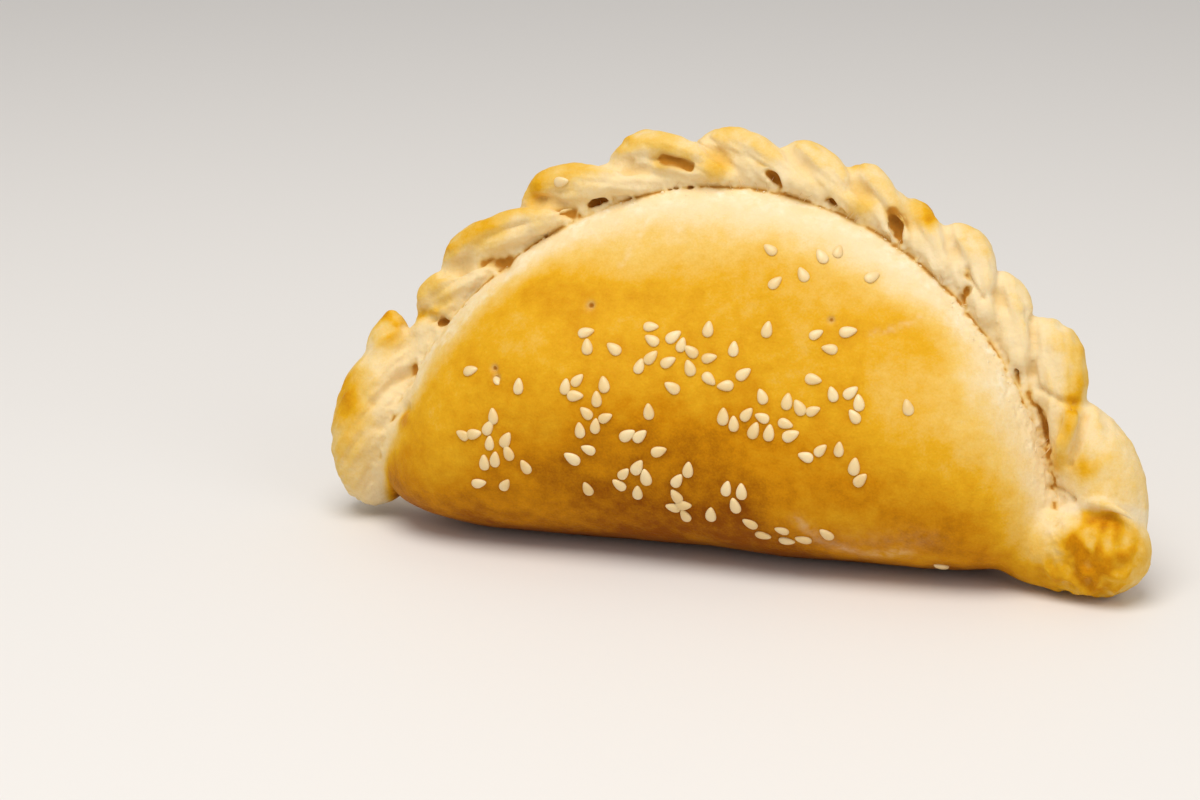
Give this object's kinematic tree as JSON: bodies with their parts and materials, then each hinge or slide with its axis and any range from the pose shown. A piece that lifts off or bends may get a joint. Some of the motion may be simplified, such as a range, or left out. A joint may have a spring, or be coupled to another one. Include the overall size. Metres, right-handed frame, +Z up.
{
  "type": "empanada",
  "caption": "Whole baked half-moon empanada with a rope-crimped edge and sesame seeds, standing on its fold.",
  "frame": {"origin": "centre of the bounding box at the level of the surface it stands on", "axes": "+X along the fold, to the viewer's right; -Y to the seeded face; +Z up to the crimped edge"},
  "size_m": [0.1594, 0.0426, 0.0776],
  "materials": {
    "crust": "golden baked dough with an uneven egg glaze, satin",
    "sesame_seed": "ivory hulled sesame under the same glaze"
  },
  "bodies": {
    "root": {"empanada": "crust"}
  },
  "joints": []
}
